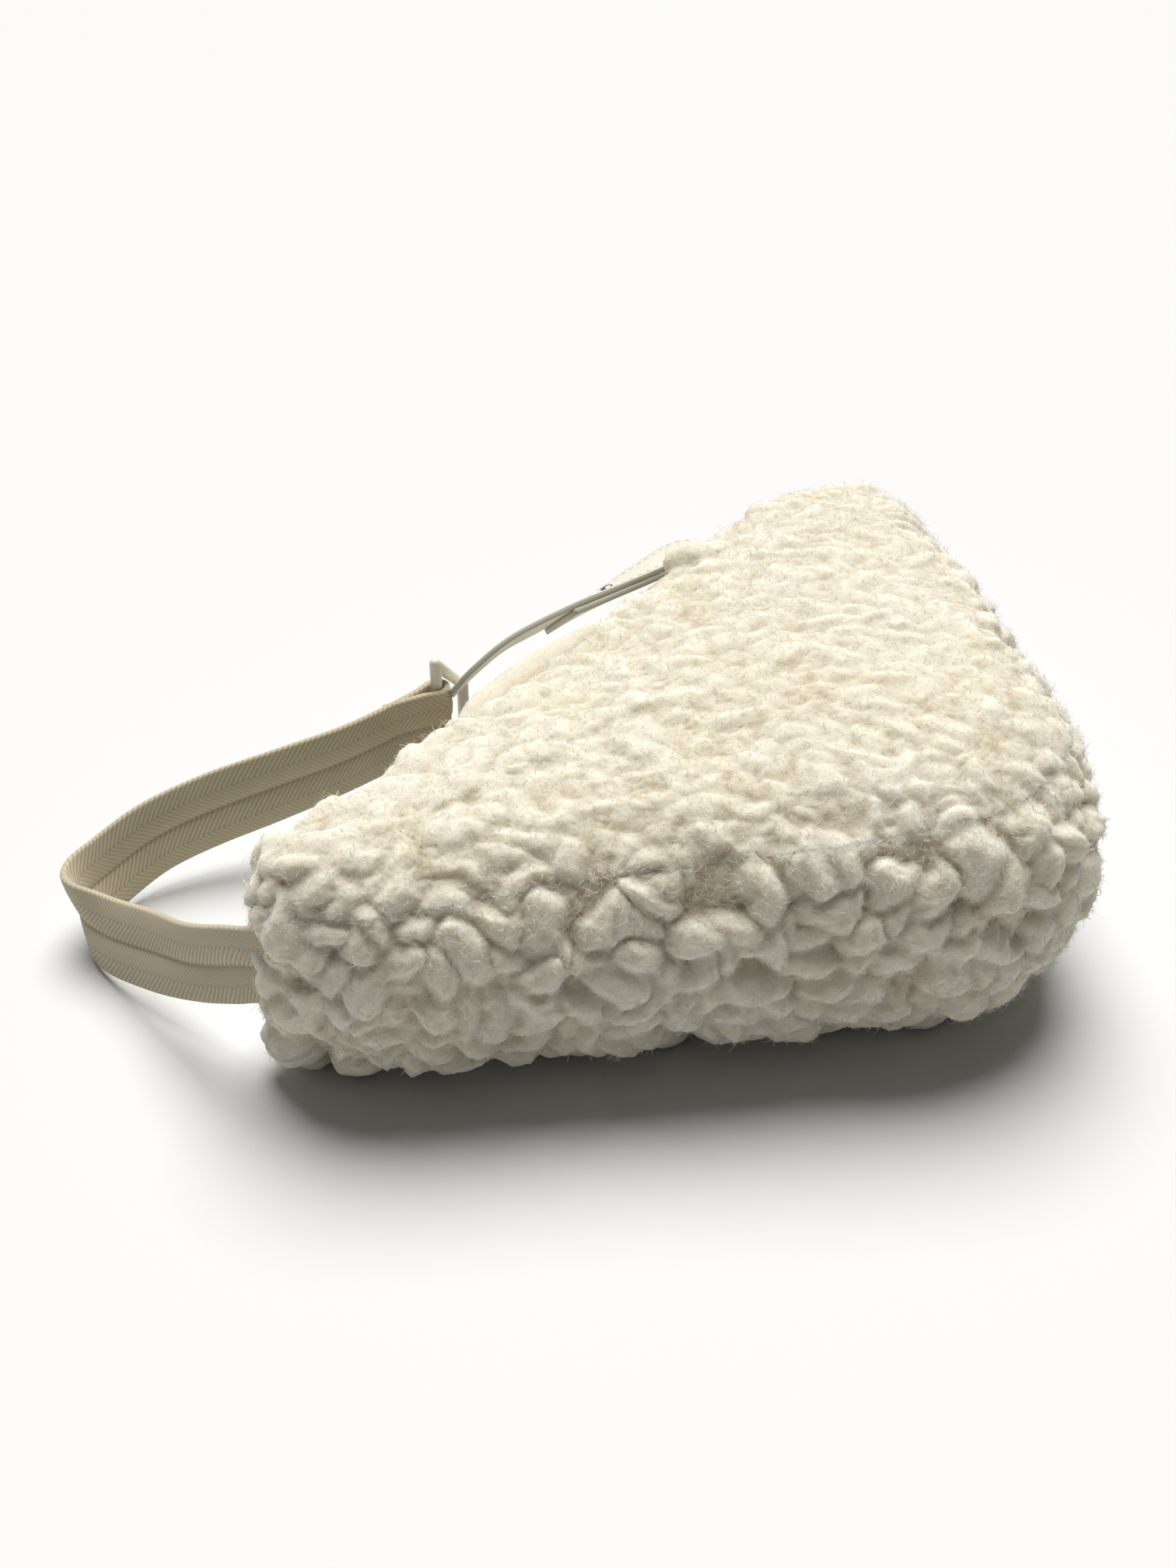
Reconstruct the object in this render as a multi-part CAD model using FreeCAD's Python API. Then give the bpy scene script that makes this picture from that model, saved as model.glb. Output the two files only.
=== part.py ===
"""Fleece hand-warmer pouch: zipped half-moon muff with a webbing strap, buckle and leather billet.

The pouch lies on its back panel.  While it is built, X runs from the zipped mouth (x = 0) to the
rounded base, Y runs along the mouth from the near horn to the far horn and Z is up from the table.
Every piece is moved at the end so that the origin is the bottom centre of the whole object's box.
"""
import FreeCAD, Part
import math
import os

V = FreeCAD.Vector

# ---- driving dimensions, millimetres -------------------------------------------------------------
POUCH_DEPTH = 170.0        # mouth to base
HORN_RADIUS = 26.0         # plan radius of the two corners beside the mouth
HORN_Y = 122.0             # half distance between the horn centres
BASE_RADIUS = 54.0         # plan radius of the rounded base
MOUTH_HEIGHT = 76.0        # pouch thickness at the mouth
BASE_HEIGHT = 95.0         # pouch thickness at the base
EDGE_RADIUS = 22.0         # rounding where panels meet the gusset
FLEECE = 9.0               # pile and backing
WADDING = 4.0
LINING = 1.0
WALL = FLEECE + WADDING + LINING
SEAM = 14.0                # distance of the panel seams from the outer faces
RIM_STEPS = 6              # rings in each rounded rim

ZIP_Z = 60.0               # height of the zip's centre line
ZIP_X = 7.6                # depth of the tapes inside the mouth wall
ZIP_HALF = 104.0           # half length of the zip
ZIP_CHANNEL = 10.0         # half height of the opening cut for the zip
END_TAB = 8.0              # fabric tab past each end of the tapes
TAPE_THICK = 1.2
TAPE_EDGE = 5.0            # tape's inner edge from the centre line
TOOTH_PITCH = 3.2
TOOTH_LENGTH = 1.7         # along the zip
TOOTH_THICK = 3.6
TOOTH_TIP = 2.5            # tooth tip from the centre line
TOOTH_HEEL = 6.5
TEETH_INSET = 6.0          # end of each tape that has no teeth
STOP_HALF = 1.5            # half length of an end stop
STOP_DEPTH = 1.9           # half thickness of an end stop
STOP_INSET = 3.0
TAB_HALF_THICK = 2.4
FACING_HEIGHT = 4.0        # lining turned in along the zip
FACING_LAP = 0.5

SLIDER_Y = -84.0           # slider's rest, near the near horn
SLIDER_LENGTH = 11.0
SLIDER_HALF = 8.0
RUNNING_GAP = 0.35         # clearance between the slider and the zip
SLIDER_PLATE = 1.5
SLIDER_FLANGE = 1.0
SLIDER_CORNER = 2.0
SLIDER_POST_HALF = 2.0
BAIL_RISE = 3.9
BAIL_HALF_LENGTH = 4.0
BAIL_HALF_WIDTH = 1.2
BAIL_WALL = 1.1
PULL_LENGTH = 16.0         # short enough to turn between the mouth and the billet
PULL_WIDTH = 8.0
PULL_THICK = 1.4
PULL_ARM = 5.5             # length of the two arms from the pin to the tab
PULL_ARM_WIDTH = 1.8
PULL_HOLE = 1.6
PIN_RADIUS = 0.9
PIN_OUT = 1.45             # pin's axis from the slider's face

LIP_CENTRE_Y = -4.0        # turned-out back lip in the middle of the mouth
LIP_HALF_SPAN = 58.0
LIP_BULGE = 27.0
LIP_BOTTOM = 4.0
LIP_TOP = 50.0
LIP_EDGE = 15.0

WEB_WIDTH = 25.0           # cotton herringbone webbing
WEB_THICK = 2.2
BILLET_WIDTH = 18.0        # leather billet
BILLET_TIP = 7.0
BILLET_PLY = 2.0
STITCH_RISE = 0.55         # stitch centre line above the leather
STITCH_RADIUS = 0.3
STITCH_PITCH = 4.0
STITCH_GAP = 1.4
STITCH_INSET = 2.4         # stitch line from the leather's edge
RIVET_RISE = 0.3
RIVET_RADIUS = 2.6
RIVET_THICK = 0.8
ROOT_DEPTH = 8.0           # root ply's inner end from the horn's centre
ROOT_WIDTH = 18.0          # sewn root plies
NEAR_ROOT_GAP = 0.5        # clearance between each root and the strap that swings on it
FAR_ROOT_GAP = 3.2

# The strap swings about the line through its two sewn ends.
NEAR_PIVOT = V(-4.0, -145.0, 36.0)
FAR_PIVOT = V(-9.0, 141.0, 50.0)

# Webbing centre line as the strap lies on its edge: position, then the lean of its top edge.
WEB_ROUTE = [
    (V(-2.0, -145.0, 36.0), V(0.0, 0.0, 1.0)),
    (V(-11.0, -145.3, 31.5), V(0.0, 0.02, 1.0)),
    (V(-24.0, -145.0, 25.5), V(0.0, 0.1, 1.0)),
    (V(-42.0, -143.5, 19.0), V(0.0, 0.28, 1.0)),
    (V(-61.0, -143.0, 14.5), V(-0.15, 0.26, 1.0)),
    (V(-74.0, -141.0, 13.6), V(-0.38, 0.05, 1.0)),
    (V(-81.0, -134.0, 13.8), V(-0.36, -0.08, 1.0)),
    (V(-83.0, -122.0, 14.3), V(-0.26, 0.0, 1.0)),
    (V(-80.5, -106.0, 15.5), V(-0.2, 0.0, 1.0)),
    (V(-73.0, -89.0, 17.5), V(-0.18, 0.04, 1.0)),
    (V(-61.0, -70.0, 21.0), V(-0.1, 0.06, 1.0)),
    (V(-50.0, -49.0, 25.0), V(0.0, 0.0, 1.0)),
    (V(-43.5, -22.5, 29.5), V(0.0, 0.0, 1.0)),
]

# Billet centre line from its pointed tip in the buckle to the far root, with its width direction.
BILLET_ROUTE = [
    (V(-38.0, -15.5, 39.5), V(0.48, -0.62, 0.62)),
    (V(-35.6, -6.7, 44.9), V(0.49, -0.62, 0.61)),
    (V(-33.3, 8.2, 48.7), V(0.53, -0.55, 0.64)),
    (V(-31.9, 32.5, 47.1), V(0.66, -0.28, 0.70)),
    (V(-29.9, 57.7, 45.5), V(0.80, -0.16, 0.58)),
    (V(-26.8, 80.4, 46.0), V(0.91, -0.12, 0.39)),
    (V(-24.1, 102.2, 45.7), V(0.93, -0.10, 0.35)),
    (V(-16.2, 119.2, 48.6), V(0.85, -0.06, 0.50)),
    (V(-9.0, 141.0, 50.0), V(0.70, 0.00, 0.71)),
]
BILLET_TIP_WIDTHS = [BILLET_TIP, 12.0, 16.5]   # the tip widens over its first stations
DOUBLED_FROM = 3                               # station where the folded under ply begins

# Buckle frame: an upright trapezoid loop between the webbing's bar and the billet's bar.
BAR_RADIUS = 1.9
WEB_BAR = V(-41.5, -17.5, 0.0)
BILLET_BAR = V(-41.0, -5.5, 0.0)
WEB_BAR_HEIGHTS = (14.5, 50.0)
BILLET_BAR_HEIGHTS = (10.5, 36.0)
BORE_GAP = 0.06            # clearance of anything that turns on a bar
PRONG_Z = 33.0
PRONG_RADIUS = 1.0
PRONG_WINDOW = 4.4         # gap in the webbing's wrap for the prong's eye
PRONG_EYE_HALF = 1.2
PRONG_EYE_WALL = 1.2
PRONG_OVERHANG = 1.0       # prong's tip past the billet's bar

NODES = {}


def box(x0, x1, y0, y1, z0, z1):
    return Part.makeBox(x1 - x0, y1 - y0, z1 - z0, V(x0, y0, z0))


def rod(start, end, radius):
    return Part.makeCylinder(radius, start.distanceToPoint(end), start, end - start)


# ---- pouch ---------------------------------------------------------------------------------------
def height_at(x):
    """Thickness of the pouch at depth x."""
    return MOUTH_HEIGHT + (BASE_HEIGHT - MOUTH_HEIGHT) * x / POUCH_DEPTH


def outline(inset):
    """Plan outline: three round corners joined by their tangents, moved inward by inset."""
    horn = HORN_RADIUS - inset
    base = BASE_RADIUS - inset
    corners = [
        (V(HORN_RADIUS, -HORN_Y, 0), horn),
        (V(POUCH_DEPTH - BASE_RADIUS, 0, 0), base),
        (V(HORN_RADIUS, HORN_Y, 0), horn),
    ]
    normals = []
    for i in range(3):
        centre, radius = corners[i]
        next_centre, next_radius = corners[(i + 1) % 3]
        step = next_centre - centre
        along = (radius - next_radius) / step.Length
        step.normalize()
        right = V(step.y, -step.x, 0)
        normals.append(step * along + right * math.sqrt(1 - along * along))
    edges = []
    for i in range(3):
        centre, radius = corners[i]
        before = normals[i - 1]
        after = normals[i]
        middle = before + after
        middle.normalize()
        points = [centre + before * radius, centre + middle * radius, centre + after * radius]
        edges.append(Part.Arc(*points).toShape())
        next_centre, next_radius = corners[(i + 1) % 3]
        edges.append(Part.LineSegment(points[2], next_centre + after * next_radius).toShape())
    return Part.Wire(edges)


def pouch(inset):
    """Rounded wedge with the pouch's outline, every face moved inward by inset.

    It is a ruled loft through level outlines round the bottom rim and sloping ones round the top rim.
    """
    radius = EDGE_RADIUS - inset
    slope = (BASE_HEIGHT - MOUTH_HEIGHT) / POUCH_DEPTH
    lean = FreeCAD.Matrix(1, 0, 0, 0, 0, 1, 0, 0, slope, 0, 1, 0, 0, 0, 0, 1)
    bottom = []
    top = []
    for k in range(RIM_STEPS + 1):
        turn = math.pi / 2 * k / RIM_STEPS
        pulled_in = radius * (1 - math.sin(turn))
        rise = inset + radius * (1 - math.cos(turn))
        ring = outline(inset + pulled_in)
        low = ring.copy()
        low.translate(V(0, 0, rise))
        high = ring.copy()
        high.translate(V(0, 0, MOUTH_HEIGHT - rise))
        bottom.append(low)
        top.insert(0, high.transformGeometry(lean))
    return Part.makeLoft(bottom + top, True, True)


def top_slab(drop):
    """Everything above the plane that lies drop below the pouch's sloping top."""
    reach = 60.0
    side = [
        V(-reach, -200, height_at(-reach) - drop),
        V(POUCH_DEPTH + reach, -200, height_at(POUCH_DEPTH + reach) - drop),
        V(POUCH_DEPTH + reach, -200, 200),
        V(-reach, -200, 200),
    ]
    return Part.Face(Part.makePolygon(side + side[:1])).extrude(V(0, 400, 0))


def zip_channel():
    half = ZIP_HALF + END_TAB
    return box(-20, WALL + 5, -half, half, ZIP_Z - ZIP_CHANNEL, ZIP_Z + ZIP_CHANNEL)


def root_plate(pivot, y0, y1, half_height):
    """Sewn root ply: a flat tab from inside the horn to the strap's swing line."""
    tab = box(pivot.x, HORN_RADIUS - ROOT_DEPTH, y0, y1, pivot.z - half_height, pivot.z + half_height)
    end = Part.makeCylinder(half_height, y1 - y0, V(pivot.x, y0, pivot.z), V(0, 1, 0))
    return tab.fuse(end).removeSplitter()


def make_roots():
    near_face = NEAR_PIVOT.y + WEB_THICK / 2 + NEAR_ROOT_GAP
    near = root_plate(NEAR_PIVOT, near_face, near_face + WEB_THICK, ROOT_WIDTH / 2)
    far_face = FAR_PIVOT.y + FAR_ROOT_GAP
    far = root_plate(FAR_PIVOT, far_face, far_face + BILLET_PLY, ROOT_WIDTH / 2)
    NODES["strap_root_near"] = near
    NODES["strap_root_far"] = far
    return near.fuse(far)


def make_shell(roots):
    """Fleece panels, wadding and lining, each layer cut from the same nested wedges."""
    outer = pouch(0.0)
    middle = pouch(FLEECE)
    inner = pouch(FLEECE + WADDING)
    hollow = pouch(WALL)
    channel = zip_channel()
    fleece = outer.cut(middle).cut(channel).cut(roots)
    wadding = middle.cut(inner).cut(channel).cut(roots)
    lining = inner.cut(hollow).cut(channel)
    top = top_slab(SEAM)
    bottom = box(-60, 260, -200, 200, -10, SEAM)
    sides = fleece.cut(top).cut(bottom)
    mouth = box(-60, WALL, -HORN_Y, HORN_Y, -10, 200)
    near = box(-60, 260, -200, 0, -10, 200).cut(mouth)
    far = box(-60, 260, 0, 200, -10, 200).cut(mouth)
    NODES["front_panel"] = fleece.common(top)
    NODES["back_panel"] = fleece.common(bottom)
    NODES["near_gusset"] = sides.common(near)
    NODES["far_gusset"] = sides.common(far)
    NODES["mouth_panel"] = sides.common(mouth)
    NODES["wadding_front"] = wadding.common(top)
    NODES["wadding_back"] = wadding.common(bottom)
    NODES["wadding_sides"] = wadding.cut(top).cut(bottom)
    NODES["lining"] = lining


def make_back_lip():
    """Pad of the back lip that rolls outward in the middle of the mouth."""
    start = V(0, LIP_CENTRE_Y - LIP_HALF_SPAN, LIP_BOTTOM)
    crown = V(-LIP_BULGE, LIP_CENTRE_Y, LIP_BOTTOM)
    end = V(0, LIP_CENTRE_Y + LIP_HALF_SPAN, LIP_BOTTOM)
    plan = Part.Wire([Part.Arc(start, crown, end).toShape(), Part.LineSegment(end, start).toShape()])
    pad = Part.Face(plan).extrude(V(0, 0, LIP_TOP - LIP_BOTTOM))
    rims = []
    for edge in pad.Edges:
        if edge.Curve.TypeId == "Part::GeomCircle":
            rims.append(edge)
    pad = pad.makeFillet(LIP_EDGE, rims)
    NODES["back_lip"] = pad.cut(pouch(0.0))


# ---- zip -----------------------------------------------------------------------------------------
def tooth(y, side):
    """One metal tooth, crimped over the tape's edge; side is +1 for the front tape."""
    half = TOOTH_THICK / 2
    slot = TAPE_THICK / 2
    profile = [
        V(ZIP_X - half, y, ZIP_Z + side * TOOTH_TIP),
        V(ZIP_X + half, y, ZIP_Z + side * TOOTH_TIP),
        V(ZIP_X + half, y, ZIP_Z + side * TOOTH_HEEL),
        V(ZIP_X + slot, y, ZIP_Z + side * TOOTH_HEEL),
        V(ZIP_X + slot, y, ZIP_Z + side * TAPE_EDGE),
        V(ZIP_X - slot, y, ZIP_Z + side * TAPE_EDGE),
        V(ZIP_X - slot, y, ZIP_Z + side * TOOTH_HEEL),
        V(ZIP_X - half, y, ZIP_Z + side * TOOTH_HEEL),
    ]
    return Part.Face(Part.makePolygon(profile + profile[:1])).extrude(V(0, TOOTH_LENGTH, 0))


def make_zip():
    slot = TAPE_THICK / 2
    low = ZIP_Z - ZIP_CHANNEL
    high = ZIP_Z + ZIP_CHANNEL
    tape_x = (ZIP_X - slot, ZIP_X + slot)
    NODES["zip_tape_back"] = box(*tape_x, -ZIP_HALF, ZIP_HALF, low, ZIP_Z - TAPE_EDGE)
    NODES["zip_tape_front"] = box(*tape_x, -ZIP_HALF, ZIP_HALF, ZIP_Z + TAPE_EDGE, high)
    teeth_half = ZIP_HALF - TEETH_INSET
    count = int(2 * teeth_half / TOOTH_PITCH)
    for name, side, shift in (("zip_teeth_back", -1, 0.0), ("zip_teeth_front", 1, TOOTH_PITCH / 2)):
        row = []
        for i in range(count):
            row.append(tooth(-teeth_half + shift + i * TOOTH_PITCH, side))
        NODES[name] = Part.makeCompound(row)
    stops = []
    tabs = []
    for end in (-1, 1):
        stop_y = end * (ZIP_HALF - STOP_INSET)
        for side in (-1, 1):
            near_z = ZIP_Z + side * TOOTH_TIP
            far_z = ZIP_Z + side * TAPE_EDGE
            z0, z1 = sorted((near_z, far_z))
            depth = (ZIP_X - STOP_DEPTH, ZIP_X + STOP_DEPTH)
            stops.append(box(*depth, stop_y - STOP_HALF, stop_y + STOP_HALF, z0, z1))
        y0, y1 = sorted((end * ZIP_HALF, end * (ZIP_HALF + END_TAB)))
        tabs.append(box(ZIP_X - TAB_HALF_THICK, ZIP_X + TAB_HALF_THICK, y0, y1, low, high))
    NODES["zip_end_stops"] = Part.makeCompound(stops)
    NODES["zip_end_tabs"] = Part.makeCompound(tabs)
    facing_x = (FLEECE + WADDING - FACING_LAP, WALL)
    facings = [
        box(*facing_x, -ZIP_HALF, ZIP_HALF, low, low + FACING_HEIGHT),
        box(*facing_x, -ZIP_HALF, ZIP_HALF, high - FACING_HEIGHT, high),
    ]
    NODES["zip_facings"] = Part.makeCompound(facings)


def rounded_plate(x0, x1, y0, y1, z0, z1, radius):
    """Upright plate facing X with its four corners rounded."""
    plate = box(x0, x1, y0, y1, z0, z1)
    corners = []
    for edge in plate.Edges:
        if abs(edge.Vertexes[0].Point.x - edge.Vertexes[-1].Point.x) > 0.01:
            corners.append(edge)
    return plate.makeFillet(radius, corners)


def make_slider():
    """Slider with outer and inner plates round both tooth rows, a post and a bail for the pull."""
    y0 = SLIDER_Y - SLIDER_LENGTH / 2
    y1 = SLIDER_Y + SLIDER_LENGTH / 2
    z0 = ZIP_Z - SLIDER_HALF
    z1 = ZIP_Z + SLIDER_HALF
    outer_face = ZIP_X - TOOTH_THICK / 2 - RUNNING_GAP
    inner_face = ZIP_X + TOOTH_THICK / 2 + RUNNING_GAP
    face = outer_face - SLIDER_PLATE
    tape_gap = TAPE_THICK / 2 + RUNNING_GAP
    outer = rounded_plate(face, outer_face, y0, y1, z0, z1, SLIDER_CORNER)
    inner = rounded_plate(inner_face, inner_face + SLIDER_PLATE, y0, y1, z0, z1, SLIDER_CORNER)
    body = outer.fuse(inner)
    for z in (z0, z1 - SLIDER_FLANGE):
        span = (y0 + SLIDER_CORNER, y1 - SLIDER_CORNER)
        body = body.fuse(box(outer_face, ZIP_X - tape_gap, *span, z, z + SLIDER_FLANGE))
        body = body.fuse(box(ZIP_X + tape_gap, inner_face, *span, z, z + SLIDER_FLANGE))
    post_half = TOOTH_TIP - RUNNING_GAP
    post_y = (SLIDER_Y - SLIDER_POST_HALF, SLIDER_Y + SLIDER_POST_HALF)
    body = body.fuse(box(outer_face, inner_face, *post_y, ZIP_Z - post_half, ZIP_Z + post_half))
    top = face - BAIL_RISE
    length = BAIL_HALF_LENGTH
    width = BAIL_HALF_WIDTH
    bail = box(top, face, SLIDER_Y - length, SLIDER_Y + length, ZIP_Z - width, ZIP_Z + width)
    inside = length - BAIL_WALL
    window = box(top + BAIL_WALL, face, SLIDER_Y - inside, SLIDER_Y + inside, ZIP_Z - width, ZIP_Z + width)
    NODES["zip_slider"] = body.fuse(bail.cut(window)).removeSplitter()
    return face


def make_pull(face):
    """Pull tab on a cross pin that turns inside the slider's bail."""
    pin_x = face - PIN_OUT
    pin_half = PULL_WIDTH / 2
    pin = rod(V(pin_x, SLIDER_Y, ZIP_Z - pin_half), V(pin_x, SLIDER_Y, ZIP_Z + pin_half), PIN_RADIUS)
    arm_end = SLIDER_Y + PULL_ARM
    x0 = pin_x - PULL_THICK / 2
    x1 = pin_x + PULL_THICK / 2
    body = pin
    for side in (-1, 1):
        z0, z1 = sorted((ZIP_Z + side * (pin_half - PULL_ARM_WIDTH), ZIP_Z + side * pin_half))
        body = body.fuse(box(x0, x1, SLIDER_Y, arm_end, z0, z1))
    tab_end = SLIDER_Y + PULL_LENGTH
    tab = box(x0, x1, arm_end, tab_end - pin_half, ZIP_Z - pin_half, ZIP_Z + pin_half)
    tip = Part.makeCylinder(pin_half, PULL_THICK, V(x0, tab_end - pin_half, ZIP_Z), V(1, 0, 0))
    hole = Part.makeCylinder(PULL_HOLE, PULL_THICK, V(x0, tab_end - pin_half, ZIP_Z), V(1, 0, 0))
    NODES["zip_pull"] = body.fuse(tab).fuse(tip).cut(hole).removeSplitter()


# ---- strap ---------------------------------------------------------------------------------------
def rail(points):
    curve = Part.BSplineCurve()
    curve.interpolate(points)
    return curve.toShape()


def ribbon(route, widths, low, high):
    """Flat strap along a route; low and high are its two faces, measured along its normal."""
    corners = [[], [], [], []]
    last = len(route) - 1
    for i in range(len(route)):
        centre = route[i][0]
        across = V(route[i][1])
        tangent = route[min(i + 1, last)][0] - route[max(i - 1, 0)][0]
        tangent.normalize()
        across = across - tangent * across.dot(tangent)
        across.normalize()
        normal = tangent.cross(across)
        half = across * (widths[i] / 2)
        corners[0].append(centre - half + normal * low)
        corners[1].append(centre + half + normal * low)
        corners[2].append(centre + half + normal * high)
        corners[3].append(centre - half + normal * high)
    rails = [rail(points) for points in corners]
    faces = [Part.makeRuledSurface(rails[k], rails[(k + 1) % 4]) for k in range(4)]
    for end in (0, last):
        loop = [points[end] for points in corners]
        faces.append(Part.Face(Part.makePolygon(loop + loop[:1])))
    shell = Part.makeShell(faces)
    shell.sewShape()
    solid = Part.makeSolid(shell)
    if solid.Volume < 0:
        solid.reverse()
    return solid


def make_webbing():
    widths = [WEB_WIDTH] * len(WEB_ROUTE)
    NODES["strap_webbing"] = ribbon(WEB_ROUTE, widths, -WEB_THICK / 2, WEB_THICK / 2)
    end = WEB_ROUTE[-1][0]
    low_z = end.z - WEB_WIDTH / 2
    wrap_radius = BAR_RADIUS + WEB_THICK
    foot = V(WEB_BAR.x, WEB_BAR.y, low_z)
    sleeve = Part.makeCylinder(wrap_radius, WEB_WIDTH, foot)
    bore = Part.makeCylinder(BAR_RADIUS + BORE_GAP, WEB_WIDTH, foot)
    notch = Part.makeCylinder(wrap_radius, PRONG_WINDOW, V(foot.x, foot.y, PRONG_Z - PRONG_WINDOW / 2))
    NODES["webbing_wrap"] = sleeve.cut(bore).cut(notch).cut(NODES["strap_webbing"])


def make_billet():
    stations = len(BILLET_ROUTE)
    widths = BILLET_TIP_WIDTHS + [BILLET_WIDTH] * (stations - len(BILLET_TIP_WIDTHS))
    NODES["billet_outer"] = ribbon(BILLET_ROUTE, widths, 0.0, BILLET_PLY)
    fold_y = BILLET_ROUTE[DOUBLED_FROM][0].y
    doubled = box(-100, 100, fold_y, 200, 0, 100)
    NODES["billet_under"] = ribbon(BILLET_ROUTE, widths, BILLET_PLY, 2 * BILLET_PLY).common(doubled)


def make_stitching():
    """Row of saddle stitches down each long edge of the doubled billet."""
    stitches = []
    doubled = BILLET_ROUTE[DOUBLED_FROM:]
    for side in (-1, 1):
        line = []
        for i in range(len(doubled)):
            centre, across = doubled[i]
            step = doubled[min(i + 1, len(doubled) - 1)][0] - doubled[max(i - 1, 0)][0]
            step.normalize()
            flat = across - step * across.dot(step)
            flat.normalize()
            normal = step.cross(flat)
            edge = flat * (side * (BILLET_WIDTH / 2 - STITCH_INSET))
            line.append(centre + edge - normal * STITCH_RISE)
        curve = Part.BSplineCurve()
        curve.interpolate(line)
        for k in range(int(curve.length() / STITCH_PITCH)):
            along = STITCH_PITCH * k + STITCH_GAP / 2
            start = curve.value(curve.parameterAtDistance(along))
            end = curve.value(curve.parameterAtDistance(along + STITCH_PITCH - STITCH_GAP))
            stitches.append(rod(start, end, STITCH_RADIUS))
    NODES["billet_stitching"] = Part.makeCompound(stitches)


def make_buckle():
    corners = [
        V(WEB_BAR.x, WEB_BAR.y, WEB_BAR_HEIGHTS[1]),
        V(BILLET_BAR.x, BILLET_BAR.y, BILLET_BAR_HEIGHTS[1]),
        V(BILLET_BAR.x, BILLET_BAR.y, BILLET_BAR_HEIGHTS[0]),
        V(WEB_BAR.x, WEB_BAR.y, WEB_BAR_HEIGHTS[0]),
    ]
    frame = Part.makeSphere(BAR_RADIUS, corners[0])
    for k in range(4):
        start = corners[k]
        end = corners[(k + 1) % 4]
        frame = frame.fuse(rod(start, end, BAR_RADIUS)).fuse(Part.makeSphere(BAR_RADIUS, end))
    NODES["buckle_frame"] = frame
    eye = V(WEB_BAR.x, WEB_BAR.y, PRONG_Z)
    foot = eye - V(0, 0, PRONG_EYE_HALF)
    knuckle = Part.makeCylinder(BAR_RADIUS + PRONG_EYE_WALL, 2 * PRONG_EYE_HALF, foot)
    bore = Part.makeCylinder(BAR_RADIUS + BORE_GAP, 2 * PRONG_EYE_HALF, foot)
    # The prong lies just outside the billet's bar and rests on it.
    rest_x = BILLET_BAR.x - BAR_RADIUS - PRONG_RADIUS - BORE_GAP
    tip = V(rest_x, BILLET_BAR.y + PRONG_OVERHANG, PRONG_Z)
    root = V(rest_x, WEB_BAR.y + PRONG_EYE_WALL, PRONG_Z)
    needle = rod(root, tip, PRONG_RADIUS).fuse(Part.makeSphere(PRONG_RADIUS, tip))
    NODES["buckle_prong"] = knuckle.fuse(needle).cut(bore).removeSplitter()


def make_rivet():
    """Small metal stud that closes the billet's fold."""
    centre, across = BILLET_ROUTE[DOUBLED_FROM + 1]
    step = BILLET_ROUTE[DOUBLED_FROM + 2][0] - BILLET_ROUTE[DOUBLED_FROM][0]
    step.normalize()
    flat = across - step * across.dot(step)
    flat.normalize()
    normal = step.cross(flat)
    foot = centre - normal * RIVET_RISE
    NODES["billet_rivet"] = Part.makeCylinder(RIVET_RADIUS, RIVET_THICK, foot, normal * -1)


# ---- assembly ------------------------------------------------------------------------------------
def build():
    roots = make_roots()
    make_shell(roots)
    make_back_lip()
    make_zip()
    make_pull(make_slider())
    make_webbing()
    make_billet()
    make_stitching()
    make_buckle()
    make_rivet()


def write():
    os.makedirs("parts", exist_ok=True)
    whole = Part.makeCompound(list(NODES.values())).optimalBoundingBox()
    origin = V((whole.XMin + whole.XMax) / 2, (whole.YMin + whole.YMax) / 2, whole.ZMin)
    print("origin in the building frame", origin)
    print("size", whole.XLength, whole.YLength, whole.ZLength)
    for name, shape in NODES.items():
        placed = shape.copy()
        placed.translate(origin * -1)
        placed.exportStep("parts/" + name + ".step")
        print(name, len(shape.Solids), round(shape.Volume), shape.isValid())


build()
write()
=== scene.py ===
import bpy
import math
import numpy as np
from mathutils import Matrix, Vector


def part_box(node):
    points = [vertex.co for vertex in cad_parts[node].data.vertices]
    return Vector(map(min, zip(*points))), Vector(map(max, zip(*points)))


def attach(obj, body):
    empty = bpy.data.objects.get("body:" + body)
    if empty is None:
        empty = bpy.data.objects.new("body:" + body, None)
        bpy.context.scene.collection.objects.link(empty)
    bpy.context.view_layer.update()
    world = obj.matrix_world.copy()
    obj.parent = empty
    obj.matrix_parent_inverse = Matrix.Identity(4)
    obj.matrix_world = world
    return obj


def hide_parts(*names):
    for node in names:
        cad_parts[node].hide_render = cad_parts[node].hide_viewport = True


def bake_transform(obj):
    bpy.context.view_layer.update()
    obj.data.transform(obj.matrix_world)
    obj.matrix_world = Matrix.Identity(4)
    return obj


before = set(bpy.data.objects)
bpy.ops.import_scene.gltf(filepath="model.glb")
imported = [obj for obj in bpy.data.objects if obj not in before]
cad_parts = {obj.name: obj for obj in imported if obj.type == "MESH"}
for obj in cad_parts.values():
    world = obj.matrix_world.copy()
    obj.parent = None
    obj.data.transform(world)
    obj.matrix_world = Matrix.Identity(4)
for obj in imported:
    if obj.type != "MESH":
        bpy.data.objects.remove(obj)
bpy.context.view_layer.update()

MM = 0.001

# ---- places taken from the frame -----------------------------------------------------------------
# Building frame: x = 0 is the mouth plane, y = 0 the middle of the mouth, z = 0 the table, all in mm.
mouth_low, mouth_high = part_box("mouth_panel")
ORIGIN = np.array([mouth_low[0], (mouth_low[1] + mouth_high[1]) / 2, 0.0]) / MM


def row(point):
    """A building-frame point in mm as a row-frame point in metres."""
    return (np.asarray(point, float) + ORIGIN) * MM


def relative(corner):
    """A row-frame corner in metres as building-frame mm."""
    return np.array(corner) / MM - ORIGIN


def node_box(node):
    """Box of a CAD node in building-frame mm."""
    low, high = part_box(node)
    return relative(low), relative(high)


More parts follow.
